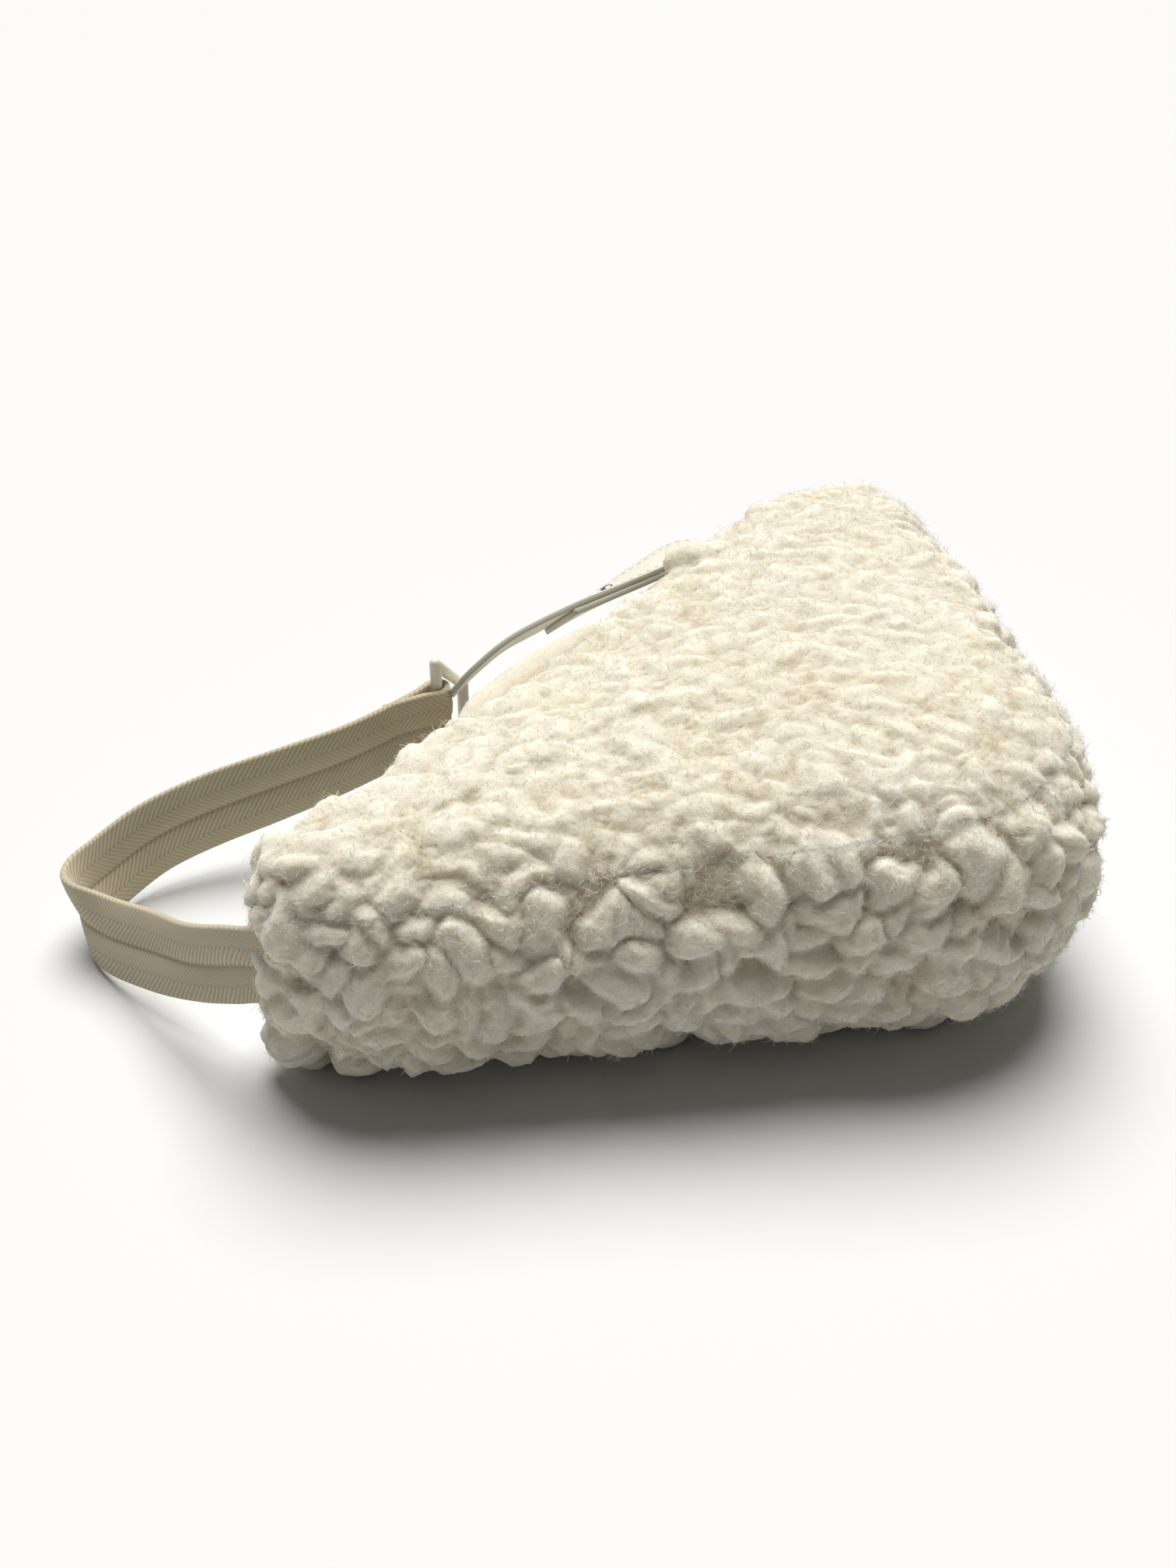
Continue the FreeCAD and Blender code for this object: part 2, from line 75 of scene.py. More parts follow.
DEPTH = 170.0
HORN_RADIUS = 26.0
HORN_Y = 122.0
BASE_RADIUS = 54.0
MOUTH_HEIGHT = 76.0
BASE_HEIGHT = 95.0
ZIP_Z = 60.0
ZIP_HALF = 104.0


# ---- camera, light and floor ---------------------------------------------------------------------
CAMERA_AZIMUTH = math.radians(36.63)
CAMERA_ELEVATION = math.radians(36.47)
CAMERA_DISTANCE = 582.2
CAMERA_TARGET = np.array([25.1, -26.4, 37.5])
CAMERA_LENS = 44.64
SENSOR_WIDTH = 36.0
WORLD_STRENGTH = 0.10
SUN_ENERGY = 4.7
SUN_ANGLE = math.radians(42)
SUN_TOWARDS = Vector((-0.26, 0.34, 1.0))
FLOOR_SIZE = 12.0
FLOOR_SHADE = 0.66


def make_camera():
    back = np.array([
        math.sin(CAMERA_AZIMUTH) * math.cos(CAMERA_ELEVATION),
        -math.cos(CAMERA_AZIMUTH) * math.cos(CAMERA_ELEVATION),
        math.sin(CAMERA_ELEVATION),
    ])
    data = bpy.data.cameras.new("camera")
    data.sensor_width = SENSOR_WIDTH
    data.lens = CAMERA_LENS
    data.clip_start = 0.01
    camera = bpy.data.objects.new("camera", data)
    bpy.context.scene.collection.objects.link(camera)
    camera.location = row(CAMERA_TARGET + back * CAMERA_DISTANCE)
    camera.rotation_euler = Vector(-back).to_track_quat("-Z", "Y").to_euler()
    bpy.context.scene.camera = camera


def make_light():
    world = bpy.data.worlds.new("studio")
    bpy.context.scene.world = world
    world.use_nodes = True
    background = world.node_tree.nodes["Background"]
    background.inputs["Color"].default_value = (0.96, 0.98, 1.0, 1.0)
    background.inputs["Strength"].default_value = WORLD_STRENGTH
    sun = bpy.data.lights.new("key", "SUN")
    sun.energy = SUN_ENERGY
    sun.angle = SUN_ANGLE
    sun.color = (1.0, 0.99, 0.975)
    key = bpy.data.objects.new("key", sun)
    bpy.context.scene.collection.objects.link(key)
    key.rotation_euler = SUN_TOWARDS.to_track_quat("Z", "Y").to_euler()
    bpy.context.scene.view_settings.view_transform = "Standard"


def make_floor():
    bpy.ops.mesh.primitive_plane_add(size=FLOOR_SIZE, location=(0, 0, 0))
    floor = bpy.context.object
    floor.name = "floor"
    material = bpy.data.materials.new("floor_paper")
    material.use_nodes = True
    shader = material.node_tree.nodes["Principled BSDF"]
    shader.inputs["Base Color"].default_value = (FLOOR_SHADE, FLOOR_SHADE, FLOOR_SHADE, 1.0)
    shader.inputs["Roughness"].default_value = 0.95
    shader.inputs["Specular IOR Level"].default_value = 0.1
    floor.data.materials.append(material)


# ---- numpy noise ---------------------------------------------------------------------------------
def hashed(cells, salt):
    """Repeatable values in 0..1 for whole-number cells."""
    n = cells[..., 0] * 374761393 + cells[..., 1] * 668265263 + cells[..., 2] * 2147483647
    n = (n + salt * 1274126177) & 0xFFFFFFFF
    n = ((n ^ (n >> 13)) * 1103515245) & 0xFFFFFFFF
    n = ((n ^ (n >> 16)) * 2654435761) & 0xFFFFFFFF
    n = n ^ (n >> 15)
    return (n & 0xFFFFFF) / float(0x1000000)


def value_noise(points, size, salt):
    """Smooth noise in -1..1 with the given feature size."""
    scaled = points / size
    base = np.floor(scaled).astype(np.int64)
    part = scaled - base
    part = part * part * (3 - 2 * part)
    total = np.zeros(len(points))
    for corner in range(8):
        step = np.array([corner & 1, (corner >> 1) & 1, (corner >> 2) & 1])
        weight = np.prod(np.where(step == 1, part, 1 - part), axis=1)
        total += weight * hashed(base + step, salt)
    return total * 2 - 1


def vector_noise(points, size, salt):
    """Three independent noises as the parts of a vector."""
    return np.stack([value_noise(points, size, salt + k) for k in range(3)], axis=1)


def lumps(points, size, salt):
    """Rounded cells with sharp creases: height 0..1 and a random value for each cell."""
    scaled = points / size
    base = np.floor(scaled).astype(np.int64)
    nearest = np.full(len(points), 9.0)
    second = np.full(len(points), 9.0)
    pick = np.zeros(len(points))
    for dx in (-1, 0, 1):
        for dy in (-1, 0, 1):
            for dz in (-1, 0, 1):
                cell = base + np.array([dx, dy, dz])
                seed = cell + np.stack([hashed(cell, salt + k) for k in range(3)], axis=1)
                gap = np.linalg.norm(seed - scaled, axis=1)
                closer = gap < nearest
                second = np.where(closer, nearest, np.minimum(second, gap))
                pick = np.where(closer, hashed(cell, salt + 7), pick)
                nearest = np.where(closer, gap, nearest)
    ratio = np.clip(2 * nearest / (nearest + second), 0, 1)
    return (1 - ratio ** 2.4) ** 0.65, pick


# ---- mesh helpers --------------------------------------------------------------------------------
def new_object(name, points_mm, faces, smooth=True):
    """Mesh object from building-frame points in mm."""
    mesh = bpy.data.meshes.new(name)
    mesh.from_pydata(row(points_mm).tolist(), [], faces if isinstance(faces, list) else faces.tolist())
    mesh.validate()
    if smooth:
        mesh.polygons.foreach_set("use_smooth", [True] * len(mesh.polygons))
    obj = bpy.data.objects.new(name, mesh)
    bpy.context.scene.collection.objects.link(obj)
    return obj


def read_points(obj):
    flat = np.empty(len(obj.data.vertices) * 3)
    obj.data.vertices.foreach_get("co", flat)
    return flat.reshape(-1, 3) / MM - ORIGIN


def write_points(obj, points):
    obj.data.vertices.foreach_set("co", row(points).ravel())
    obj.data.update()


def read_normals(obj):
    flat = np.empty(len(obj.data.vertices) * 3)
    obj.data.vertex_normals.foreach_get("vector", flat)
    return flat.reshape(-1, 3)


def read_quads(obj):
    """Faces as an n x 4 array; triangles repeat their last corner."""
    count = len(obj.data.polygons)
    totals = np.empty(count, int)
    starts = np.empty(count, int)
    corners = np.empty(len(obj.data.loops), int)
    obj.data.polygons.foreach_get("loop_total", totals)
    obj.data.polygons.foreach_get("loop_start", starts)
    obj.data.loops.foreach_get("vertex_index", corners)
    steps = np.minimum(np.arange(4)[None, :], (totals - 1)[:, None])
    return corners[starts[:, None] + steps]


def edge_table(obj):
    pairs = np.empty(len(obj.data.edges) * 2, int)
    obj.data.edges.foreach_get("vertices", pairs)
    return pairs.reshape(-1, 2)


def relax(points, edges, weight, rounds):
    """Moves points towards the mean of their neighbours."""
    count = np.bincount(edges.ravel(), minlength=len(points))
    for _ in range(rounds):
        total = np.zeros_like(points)
        for axis in range(3):
            total[:, axis] += np.bincount(edges[:, 0], points[edges[:, 1], axis], len(points))
            total[:, axis] += np.bincount(edges[:, 1], points[edges[:, 0], axis], len(points))
        mean = total / np.maximum(count, 1)[:, None]
        points = points + (mean - points) * weight[:, None]
    return points


def modified(obj, kind, **settings):
    """Applies one modifier by replacing the mesh with its evaluated copy."""
    modifier = obj.modifiers.new(kind, kind)
    for key, value in settings.items():
        setattr(modifier, key, value)
    graph = bpy.context.evaluated_depsgraph_get()
    mesh = bpy.data.meshes.new_from_object(obj.evaluated_get(graph))
    obj.modifiers.clear()
    old = obj.data
    obj.data = mesh
    bpy.data.meshes.remove(old)
    return obj


# ---- pouch ---------------------------------------------------------------------------------------
PILE_INSET = 2.3


def smooth_step(value, low, high):
    """0 below low, 1 above high, and an even S between them."""
    t = np.clip((value - low) / (high - low), 0, 1)
    return t * t * (3 - 2 * t)


def plan_outline(count):
    """Points and outward normals evenly spaced round the hull of the three corner circles."""
    turn = np.linspace(0, 2 * math.pi, 1441)[:-1]
    normal = np.stack([np.cos(turn), np.sin(turn)], axis=1)
    centres = np.array([[HORN_RADIUS, -HORN_Y], [HORN_RADIUS, HORN_Y], [DEPTH - BASE_RADIUS, 0.0]])
    radii = np.array([HORN_RADIUS, HORN_RADIUS, BASE_RADIUS])
    best = (normal @ centres.T + radii).argmax(axis=1)
    hull = centres[best] + normal * radii[best][:, None]
    closed = np.vstack([hull, hull[:1]])
    closed_normal = np.vstack([normal, normal[:1]])
    run = np.concatenate([[0], np.cumsum(np.linalg.norm(np.diff(closed, axis=0), axis=1))])
    where = np.linspace(0, run[-1], count, endpoint=False)
    points = np.stack([np.interp(where, run, closed[:, k]) for k in range(2)], axis=1)
    normals = np.stack([np.interp(where, run, closed_normal[:, k]) for k in range(2)], axis=1)
    normals /= np.linalg.norm(normals, axis=1)[:, None]
    return points, normals


def height_at(x):
    """Height of the pouch, which grows from the mouth to the base."""
    return MOUTH_HEIGHT + (BASE_HEIGHT - MOUTH_HEIGHT) * np.clip(x / DEPTH, 0, 1)


def pouch_surface(inset, floor):
    """Smooth closed pillow of the pouch, inset from its outside, with its underside at floor."""
    count = 360
    points, normals = plan_outline(count)
    # The walls round over gently towards the base and tightly beside the mouth and at the horns.
    near_half = 1 - smooth_step(points[:, 1], -10, 80)
    rim = (19.0 + 22.0 * smooth_step(points[:, 0], 12, 85) * (0.25 + 0.75 * near_half))[:, None]
    power = 2 / (2.2 + 3.0 * (1 - smooth_step(points[:, 0], 5, 26)))
    points = points - normals * inset
    centre = np.array([62.0, 0.0])
    rings = []
    for scale in (0.04, 0.2, 0.4, 0.6, 0.8, 0.92):
        flat = centre + (points - normals * rim - centre) * scale
        rings.append(np.column_stack([flat, np.full(count, floor)]))
    for turn in np.linspace(-math.pi / 2, math.pi / 2, 41):
        pulled_in = rim * (1 - abs(math.cos(turn)) ** power)[:, None]
        lift = 0.5 * (1 + math.copysign(1, turn) * abs(math.sin(turn)) ** power)
        flat = points - normals * pulled_in
        rings.append(np.column_stack([flat, floor + (height_at(flat[:, 0]) - inset - floor) * lift]))
    for scale in (0.95, 0.88, 0.8, 0.68, 0.55, 0.4, 0.2, 0.04):
        flat = centre + (points - normals * rim - centre) * scale
        crown = 3.5 * (1 - scale ** 2)
        rings.append(np.column_stack([flat, height_at(flat[:, 0]) - inset + crown]))
    surface = np.vstack(rings)
    faces = []
    for r in range(len(rings) - 1):
        for k in range(count):
            a = r * count + k
            b = r * count + (k + 1) % count
            faces.append((a, b, b + count, a + count))
    faces.append(tuple(reversed(range(count))))
    faces.append(tuple(range((len(rings) - 1) * count, len(rings) * count)))
    return shape_pouch(surface), faces


def shape_pouch(points):
    """Small departures of the stuffed pouch from the plain pillow."""
    x, y, z = points[:, 0], points[:, 1], points[:, 2]
    up = z / height_at(x)
    near = smooth_step(-y, 90, 150)
    far = smooth_step(y, 80, 150)
    base = smooth_step(x, 90, 170)
    moved = points.copy()
    moved[:, 2] -= far * 8.0 * smooth_step(up, 0.3, 1.0)
    moved[:, 2] -= base * 4.0 * smooth_step(up, 0.6, 1.0) * (1 - smooth_step(y, -20, 60))
    moved[:, 2] += near * 5.0 * (1 - smooth_step(up, 0.0, 0.45)) * smooth_step(-y, 100, 148)
    moved[:, 0] -= near * 7.0 * (1 - smooth_step(x, 10, 60))
    moved[:, 1] -= near * 3.0 * (1 - smooth_step(x, 10, 60))
    # The front lip bows out over the far half of the mouth and is drawn in over the near half.
    lip = (1 - smooth_step(x, 5, 60)) * smooth_step(up, 0.45, 0.95)
    moved[:, 0] -= 1.5 * lip * np.exp(-((y - 70) / 38) ** 2)
    moved[:, 0] += 8.0 * smooth_step(y, 95, 150) * smooth_step(up, 0.15, 0.8)
    drawn = lip * np.exp(-((y + 22) / 45) ** 2)
    moved[:, 2] -= 1.5 * drawn
    return moved


def lip_surface():
    """Rolled-out back lip: a fat crescent pad along the middle of the mouth."""
    low, high = node_box("back_lip")
    middle = (low + high) / 2
    count_u, count_v = 64, 40
    surface = []
    for u in np.linspace(0, math.pi, count_u):
        for v in np.linspace(0, 2 * math.pi, count_v, endpoint=False):
            span = (high[1] - low[1]) / 2 * 0.97
            bulge = max(math.sin(u), 0.02) ** 0.8
            x = 4.0 - (4.0 - low[0]) * bulge * (0.5 + 0.5 * abs(math.cos(v)) ** 0.6 * np.sign(math.cos(v)))
            rise = abs(math.sin(v)) ** 0.6 * np.sign(math.sin(v)) * (1.12 if v < math.pi else 1.0)
            z = middle[2] + (high[2] - low[2]) / 2 * bulge ** 0.35 * rise
            surface.append((x + 1.0, middle[1] - span * math.cos(u), z))
    faces = []
    for r in range(count_u - 1):
        for k in range(count_v):
            a = r * count_v + k
            b = r * count_v + (k + 1) % count_v
            faces.append((b, b + count_v, a + count_v, a))
    faces.append(tuple(reversed(range(count_v))))
    faces.append(tuple(range((count_u - 1) * count_v, count_u * count_v)))
    return np.array(surface), faces


def boolean(obj, other, operation):
    modifier = obj.modifiers.new("cut", "BOOLEAN")
    modifier.operation = operation
    modifier.object = other
    modifier.solver = "EXACT"
    graph = bpy.context.evaluated_depsgraph_get()
    mesh = bpy.data.meshes.new_from_object(obj.evaluated_get(graph))
    obj.modifiers.clear()
    obj.data = mesh
    bpy.data.objects.remove(other)


def block(name, low, high):
    x0, y0, z0 = low
    x1, y1, z1 = high
    points = [(x, y, z) for z in (z0, z1) for x, y in ((x0, y0), (x1, y0), (x1, y1), (x0, y1))]
    faces = [(3, 2, 1, 0), (4, 5, 6, 7), (0, 1, 5, 4), (1, 2, 6, 5), (2, 3, 7, 6), (3, 0, 4, 7)]
    return new_object(name, points, faces, smooth=False)


TRENCH_HALF = 9.3
TRENCH_DEEP = 12.0
LINING_INSET = 17.0
HIDDEN_LAYERS = {
    "front_panel": ("wadding_front",),
    "back_panel": ("wadding_back",),
    "near_gusset": ("wadding_sides",),
}


def make_fleece():
    voxel = 0.8
    points, faces = pouch_surface(PILE_INSET, 0.0)
    body = new_object("fleece_body", points, faces)
    pad_points, pad_faces = lip_surface()
    pad = new_object("lip_pad", pad_points, pad_faces)
    boolean(body, pad, "UNION")
    end = ZIP_HALF + 7.0
    trench = block("trench", (-60, -end, ZIP_Z - TRENCH_HALF), (TRENCH_DEEP, end, ZIP_Z + TRENCH_HALF))
    boolean(body, trench, "DIFFERENCE")
    modified(body, "REMESH", mode="VOXEL", voxel_size=voxel * MM, adaptivity=0.0)
    points = read_points(body)
    x, y, _ = points.T
    # Round the trench's rims and the junction of the rolled lip.
    by_mouth = (1 - smooth_step(x, 10, 22)) * (np.abs(y) < end + 8)
    points = relax(points, edge_table(body), 0.6 * by_mouth, 16)
    points = relax(points, edge_table(body), np.full(len(points), 0.5), 3)
    write_points(body, points)
    grow_pile(body)


def make_lining():
    """Thin lining bag, open along the zip."""
    points, faces = pouch_surface(LINING_INSET, LINING_INSET)
    lining = new_object("lining_bag", points, faces)
    end = ZIP_HALF - 2.0
    slot = block("lining_slot", (-60, -end, ZIP_Z - 7.0), (LINING_INSET + 6.0, end, ZIP_Z + 7.0))
    boolean(lining, slot, "DIFFERENCE")
    lining.data.materials.clear()
    lining.data.materials.append(plain_fabric("lining_cloth", (0.80, 0.80, 0.77), 900.0))
    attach(lining, "pouch")
    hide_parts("lining")


def trench_mask(points):
    """1 in the zip's trench, fading to 0 outside its rims."""
    x, y, z = points.T
    mask = 1 - smooth_step(np.abs(z - ZIP_Z), TRENCH_HALF - 3.5, TRENCH_HALF + 3.0)
    mask *= (1 - smooth_step(np.abs(y), ZIP_HALF + 4, ZIP_HALF + 14)) * (1 - smooth_step(x, 4, 14))
    mask *= smooth_step(x, -9.0, -3.0)
    walls = (x > 2.5) * (x < TRENCH_DEEP + 1.5) * (np.abs(z - ZIP_Z) < TRENCH_HALF + 1.2)
    return np.maximum(mask, walls * (np.abs(y) < ZIP_HALF + 8.5))


def scatter(body, spacing, seed):
    """Points spread over the mesh at least about spacing apart, with their normals."""
    chance = np.random.default_rng(seed)
    points = read_points(body)
    quads = read_quads(body)
    a, b, c, d = (points[quads[:, k]] for k in range(4))
    areas = np.linalg.norm(np.cross(c - a, d - b), axis=1)
    count = int(areas.sum() / 2 / spacing ** 2 * 6)
    picks = chance.choice(len(quads), count, p=areas / areas.sum())
    u, v = chance.random((2, count, 1))
    sites = (a[picks] * (1 - u) + b[picks] * u) * (1 - v) + (d[picks] * (1 - u) + c[picks] * u) * v
    normals = np.cross(c[picks] - a[picks], d[picks] - b[picks])
    normals /= np.linalg.norm(normals, axis=1)[:, None]
    keep = []
    grid = {}
    reach = spacing * (0.75 + 0.25 * hashed(np.floor(sites * 3).astype(np.int64), seed))
    for k, site in enumerate(sites):
        cell = tuple((site // spacing).astype(int))
        near = [j for dx in (-1, 0, 1) for dy in (-1, 0, 1) for dz in (-1, 0, 1)
                for j in grid.get((cell[0] + dx, cell[1] + dy, cell[2] + dz), ())]
        if near and np.min(((sites[near] - site) ** 2).sum(axis=1)) < reach[k] ** 2:
            continue
        grid.setdefault(cell, []).append(k)
        keep.append(k)
    return sites[keep], normals[keep]


def cell_table(points, size):
    """Indices of the points in each cube of the given size."""
    cells = np.floor(points / size).astype(np.int64)
    keys = (cells[:, 0] * 4096 + cells[:, 1]) * 4096 + cells[:, 2]
    order = np.argsort(keys, kind="stable")
    values, starts = np.unique(keys[order], return_index=True)
    return dict(zip(values.tolist(), np.split(order, starts[1:])))


SEARCH_CUBE = 15.0       # reaches past the longest lock
DOME_ENDS = 2.3          # how blunt a lock is along its length, and across it
DOME_SIDES = 2.1
DOME_ROUND = 0.78
SUNK = 2.4               # how far the locks' roots lie below the stuffed surface
GROOVE_DEPTH = 1.9
GROOVE_WIDTH = 0.9
LOCK_LAYERS = ((9.4, 3, True), (7.2, 4, False))    # spacing, seed, and whether it is the wall's


def domes(points, normals, locks):
    """Highest and second highest dome over each point, with the direction its lock leans."""
    table = cell_table(points, SEARCH_CUBE)
    best = np.full(len(points), 0.6)
    second = np.full(len(points), 0.0)
    lean = np.zeros((len(points), 3))
    streak = np.zeros((len(points), 3))
    for k in range(len(locks["site"])):
        site, n, along = locks["site"][k], locks["normal"][k], locks["along"][k]
        cell = np.floor(site / SEARCH_CUBE).astype(int)
        near = []
        for step in np.ndindex(3, 3, 3):
            c = cell + np.array(step) - 1
            found = table.get(int((c[0] * 4096 + c[1]) * 4096 + c[2]))
            if found is not None:
                near.append(found)
        if not near:
            continue
        near = np.concatenate(near)
        offset = points[near] - site
        u = offset @ along
        across = np.cross(n, along)
        v = offset @ across - locks["hook"][k] * u * u
        # Broad blunt ends, like a curl that is folded over on itself.
        q = 1 - (np.abs(u) / locks["long"][k]) ** DOME_ENDS - (np.abs(v) / locks["wide"][k]) ** DOME_SIDES
        inside = (q > 0) & (normals[near] @ n > 0.15)
        near, q, u, v = near[inside], q[inside], u[inside], v[inside]
        height = locks["base"][k] + locks["high"][k] * q ** DOME_ROUND
        higher = height > best[near]
        second[near] = np.where(higher, best[near], np.maximum(second[near], height))
        won = near[higher]
        best[won] = height[higher]
        lean[won] = along
        streak[won] = np.column_stack([u[higher] / 4.0, v[higher] / 0.9, np.full(len(won), k * 3.7)])
    return best, second, lean, streak


def plan_locks(body):
    """Size, place and direction of each lock of pile, larger round the walls than over the top."""
    chance = np.random.default_rng(17)
    kept = []
    for spacing, seed, wall_layer in LOCK_LAYERS:
        sites, normals = scatter(body, spacing, seed)
        top = smooth_step(normals[:, 2], 0.35, 0.85)
        chosen = (trench_mask(sites) < 0.5) & ((chance.random(len(sites)) > top) == wall_layer)
        kept.append((sites[chosen], normals[chosen], top[chosen]))
    sites, normals, top = (np.concatenate(parts) for parts in zip(*kept))
    count = len(sites)
    flow = vector_noise(sites, 24.0, 131) * 1.2 + chance.normal(0, 0.8, (count, 3))
    flow[:, 2] -= 0.5 * (1 - top)
    flow -= normals * (flow * normals).sum(axis=1)[:, None]
    flow /= np.linalg.norm(flow, axis=1)[:, None]
    far_away = smooth_step(sites[:, 1] + 0.4 * sites[:, 0], 0, 150)
    calm = (1 - 0.30 * top) * (1 - 0.15 * far_away)
    return {
        "site": sites,
        "normal": normals,
        "along": flow,
        "long": chance.uniform(8.5, 14.5, count) * calm,
        "wide": chance.uniform(5.4, 8.4, count) * calm,
        "high": chance.uniform(4.4, 6.6, count) * (1 - 0.64 * top),
        "base": chance.uniform(-1.6, 0.9, count) * (1 - 0.5 * top),
        "hook": chance.normal(0, 0.035, count),
    }


def grow_pile(body):
    """Raises the locks of pile, their curls and fibres, and splits the body into its panels."""
    points = read_points(body)
    normals = read_normals(body)
    locks = plan_locks(body)
    warp = vector_noise(points, 11.0, 11) * 4.2 + vector_noise(points, 4.6, 21) * 1.7
    best, second, lean, streak = domes(points + warp, normals, locks)
    top = smooth_step(normals[:, 2], 0.35, 0.9)
    lip = smooth_step(-points[:, 0], 3.0, 8.0) * (np.abs(points[:, 1]) < 68)
    free = (1 - trench_mask(points)) * (1 - 0.8 * lip)
    free *= 1 - 0.88 * (1 - smooth_step(points[:, 2], 0.0, 6.0))
    small, pick = lumps(points + warp * 1.3 + vector_noise(points, 2.4, 41) * 0.6, 5.2, 5)
    curl = value_noise(points + warp * 2.0, 3.1, 61)
    ridge = np.clip(1 - np.abs(curl) * 2.4, -0.6, 1)
    fibres = value_noise(streak, 1.0, 71)
    finest = value_noise(points + warp, 0.95, 81)
    apart = np.clip(best - second, 0, None)
    groove = np.exp(-((apart / GROOVE_WIDTH) ** 1.2))
    height = best - SUNK * (1 - 0.6 * top) - GROOVE_DEPTH * (1 - 0.6 * top) * groove
    fields = np.column_stack([height, groove, best])
    fields = relax(fields, edge_table(body), np.full(len(points), 0.5), 6)
    height, groove, best = fields.T.copy()
    curls = 0.95 * small * (0.4 + 0.6 * pick)
    height += (curls + 0.26 * ridge + 0.2 * fibres + 0.12 * finest) * (1 - 0.3 * top)
    height *= free
    moved = points + normals * height[:, None]
    moved += lean * (np.clip(height, 0, 4) * 0.42 * free)[:, None]
    moved[:, 2] = np.maximum(moved[:, 2], 0.25 + 0.08 * finest)
    moved = relax(moved, edge_table(body), np.full(len(moved), 0.22), 1)
    write_points(body, moved)
    # Painted shade and light for the pile's colour: darker in the creases between locks and in the zip's
    # trench, lighter on high domes, curls and the top, held near one level over the lip.
    crease = 1 - 1.6 * groove
    painted_pile_shade = (0.26 + 0.07 * (1 + top) * np.clip(best, -1, 5) + 0.34 * crease + 0.14 * small
             + 0.05 * ridge + 0.10 * top)
    painted_pile_shade = np.clip(painted_pile_shade * (1 - 0.35 * trench_mask(points)) + 0.12 * lip, 0, 1)
    painted_pile_shade += 0.8 * lip * (0.78 - painted_pile_shade)
    # Painted shade: darker where the lip meets the zip, and low on the walls.
    shaded = 0.42 * lip * smooth_step(points[:, 0], -21.0, -10.0)
    shaded = shaded + 0.16 * (1 - smooth_step(points[:, 2], 2.0, 40.0))
    painted_pile_shade = np.clip(painted_pile_shade - shaded, 0, 1)
    body.data.attributes.new("painted_pile_shade", "FLOAT", "POINT").data.foreach_set("value", painted_pile_shade)
    split_panels(body, points)


def split_panels(body, rest):
    """Cuts the pile into its sewn panels along the seams."""
    quads = read_quads(body)
    middle = rest[quads].mean(axis=1)
    x, y, z = middle.T
    top = height_at(x)
    inside = (x > TRENCH_DEEP - 1.2) & (x < TRENCH_DEEP + 1.5) & (np.abs(z - ZIP_Z) < TRENCH_HALF - 1.0)
    inside &= np.abs(y) < ZIP_HALF + 6.0
    seam = 15.0
    mouth = (x < 14.0) & (np.abs(y) < HORN_Y) & (z > seam) & (z < ZIP_Z)
    pad = (x < -2.5) & (np.abs(y) < 70) & (z < ZIP_Z - 4)
    label = np.where(y < 0, 2, 3)
    label = np.where(z < seam, 1, label)
    label = np.where(z > top - seam, 0, label)
    label = np.where(mouth, 4, label)
    label = np.where(pad, 5, label)
    label = np.where(inside, -1, label)
    # Each panel keeps its share of the painted pile shade.
    painted_pile_shade = np.empty(len(body.data.vertices))
    body.data.attributes["painted_pile_shade"].data.foreach_get("value", painted_pile_shade)
    points = read_points(body)
    smooth_normals = read_normals(body)
    names = ["front_panel", "back_panel", "near_gusset", "far_gusset", "mouth_panel", "back_lip"]
    for k, node in enumerate(names):
        chosen = quads[label == k]
        used, packed = np.unique(chosen.ravel(), return_inverse=True)
        packed = packed.reshape(-1, 4)
        faces = [tuple(dict.fromkeys(face)) for face in packed.tolist()]
        piece = new_object("fleece_" + node, points[used], faces)
        piece.data.attributes.new("painted_pile_shade", "FLOAT", "POINT").data.foreach_set("value", painted_pile_shade[used])
        if len(piece.data.vertices) == len(used):
            piece.data.normals_split_custom_set_from_vertices(smooth_normals[used].tolist())
        piece.data.materials.append(fleece_material())
        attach(piece, "pouch")
        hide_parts(node, *HIDDEN_LAYERS.get(node, ()))
        if node != "back_panel":
            grow_fibres(node, points[used], smooth_normals[used], k)
    bpy.data.objects.remove(body)


